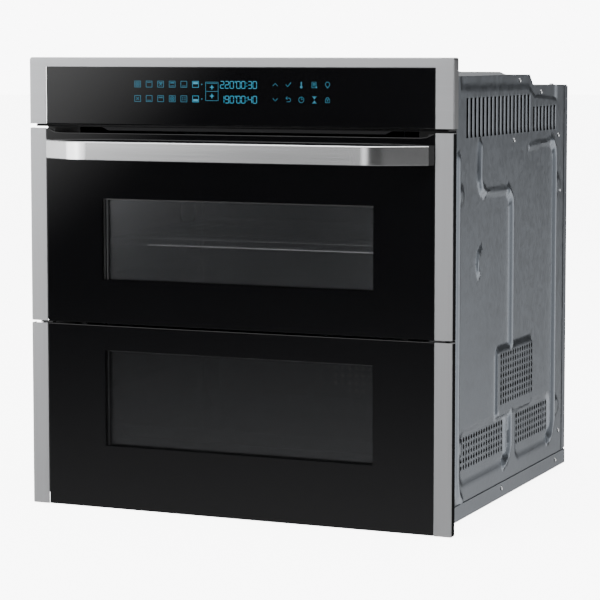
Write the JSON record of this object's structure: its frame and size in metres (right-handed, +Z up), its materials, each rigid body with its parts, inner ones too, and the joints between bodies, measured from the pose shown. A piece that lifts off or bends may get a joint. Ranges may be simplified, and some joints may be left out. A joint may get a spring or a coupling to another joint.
{
  "type": "wall oven",
  "caption": "Built-in wall oven with a touch control panel, a bow handle and a window door in two halves that open separately or together.",
  "frame": {"origin": "middle of the outline box at the height of the feet", "axes": "+Z up, the door faces -Y, +X to the right of someone facing the door"},
  "size_m": [0.595, 0.614, 0.597],
  "materials": {
    "brushed_steel": "satin, brushed along the length",
    "galvanised_sheet": "zinc-coated steel sheet, semi-matt",
    "black_glass": "black backed glass, polished",
    "clear_glass": "heat-reflecting clear glass",
    "black_plastic": "matt moulded plastic",
    "black_paint": "black paint on steel",
    "enamel": "vitreous enamel, dark grey",
    "chrome_wire": "chromed wire",
    "heater_steel": "heat-darkened steel tube",
    "mineral_wool": "soft mineral wool blanket",
    "seal_braid": "woven glass-fibre braid",
    "circuit_board": "lacquered board",
    "lamp_glass": "frosted glass",
    "motor_metal": "plain metal"
  },
  "bodies": {
    "chassis": {"air_duct": "galvanised_sheet", "air_outlet_bezel": "black_plastic", "base_element": "heater_steel", "base_panel": "galvanised_sheet", "cavity_gasket": "seal_braid", "cavity_liner": "enamel", "control_board": "circuit_board", "control_glass": "black_glass", "control_housing": "black_plastic", "control_trim": "brushed_steel", "cooling_fan_housing": "galvanised_sheet", "display_module": "black_plastic", "fan_cover": "enamel", "fan_motor_lower": "motor_metal", "fan_motor_upper": "motor_metal", "front_frame": "black_paint", "grill_element": "heater_steel", "hinge_arm_left": "brushed_steel", "hinge_arm_right": "brushed_steel", "insulation_wrap": "mineral_wool", "lamp_holder": "motor_metal", "lamp_lens": "lamp_glass", "mains_terminal_box": "black_plastic", "rear_panel": "galvanised_sheet", "ring_element_lower": "heater_steel", "ring_element_upper": "heater_steel", "side_panel_left": "galvanised_sheet", "side_panel_right": "galvanised_sheet", "side_rack_left": "chrome_wire", "side_rack_right": "chrome_wire", "top_panel": "galvanised_sheet"},
    "lower_door": {"hinge_case_left": "brushed_steel", "hinge_case_right": "brushed_steel", "lower_bottom_rail": "black_paint", "lower_inner_glass": "clear_glass", "lower_outer_glass": "black_glass", "lower_stile_left": "black_paint", "lower_stile_right": "black_paint", "lower_top_rail": "black_paint", "lower_trim_left": "brushed_steel", "lower_trim_right": "brushed_steel", "split_hinge_left": "black_paint", "split_hinge_right": "black_paint"},
    "upper_door": {"upper_bottom_rail": "black_paint", "upper_inner_glass": "clear_glass", "upper_outer_glass": "black_glass", "upper_stile_left": "black_paint", "upper_stile_right": "black_paint", "upper_top_rail": "black_paint", "upper_trim_left": "brushed_steel", "upper_trim_right": "brushed_steel", "handle_bar": "brushed_steel"},
    "release_lever": {"release_lever": "black_plastic"},
    "latch": {"latch_yoke": "brushed_steel"},
    "wire_shelf": {"wire_shelf": "chrome_wire"},
    "divider": {"divider_plate": "enamel"},
    "baking_tray": {"baking_tray": "enamel"},
    "upper_fan": {"convection_fan_upper": "motor_metal"},
    "lower_fan": {"convection_fan_lower": "motor_metal"},
    "cooling_rotor": {"cooling_fan_rotor": "black_plastic"}
  },
  "joints": [
    {"name": "door_hinge", "type": "hinge", "parent": "chassis", "child": "lower_door", "pos_m": [0, -0.247, 0.01], "axis": [1, 0, 0], "range_deg": [0, 88], "stiffness_Nm_per_rad": 10, "springref_deg": -17.19},
    {"name": "split_hinge", "type": "hinge", "parent": "lower_door", "child": "upper_door", "pos_m": [0, -0.262, 0.246], "axis": [1, 0, 0], "range_deg": [0, 88], "stiffness_Nm_per_rad": 2, "springref_deg": -17.19},
    {"name": "latch_slide", "type": "slide", "parent": "upper_door", "child": "latch", "axis": [0, 0, 1], "range_m": [0, 0.004], "stiffness_N_per_m": 1500, "springref_m": -0.002},
    {"name": "release_lever_hinge", "type": "hinge", "parent": "upper_door", "child": "release_lever", "pos_m": [0, -0.2935, 0.484], "axis": [-1, 0, 0], "range_deg": [0, 10]},
    {"name": "shelf_slide", "type": "slide", "parent": "chassis", "child": "wire_shelf", "axis": [0, -1, 0], "range_m": [0, 0.02]},
    {"name": "divider_slide", "type": "slide", "parent": "chassis", "child": "divider", "axis": [0, -1, 0], "range_m": [0, 0.01]},
    {"name": "tray_slide", "type": "slide", "parent": "chassis", "child": "baking_tray", "axis": [0, -1, 0], "range_m": [0, 0.02]},
    {"name": "upper_fan_spin", "type": "hinge", "parent": "chassis", "child": "upper_fan", "pos_m": [0, 0.177, 0.3485], "axis": [0, 1, 0], "continuous": true},
    {"name": "lower_fan_spin", "type": "hinge", "parent": "chassis", "child": "lower_fan", "pos_m": [0, 0.177, 0.1555], "axis": [0, 1, 0], "continuous": true},
    {"name": "cooling_fan_spin", "type": "hinge", "parent": "chassis", "child": "cooling_rotor", "pos_m": [0, 0.105, 0.512], "axis": [1, 0, 0], "continuous": true}
  ],
  "couplings": [
    {"joint": "release_lever_hinge", "follows": "latch_slide", "rad_per_m": 43.6}
  ]
}
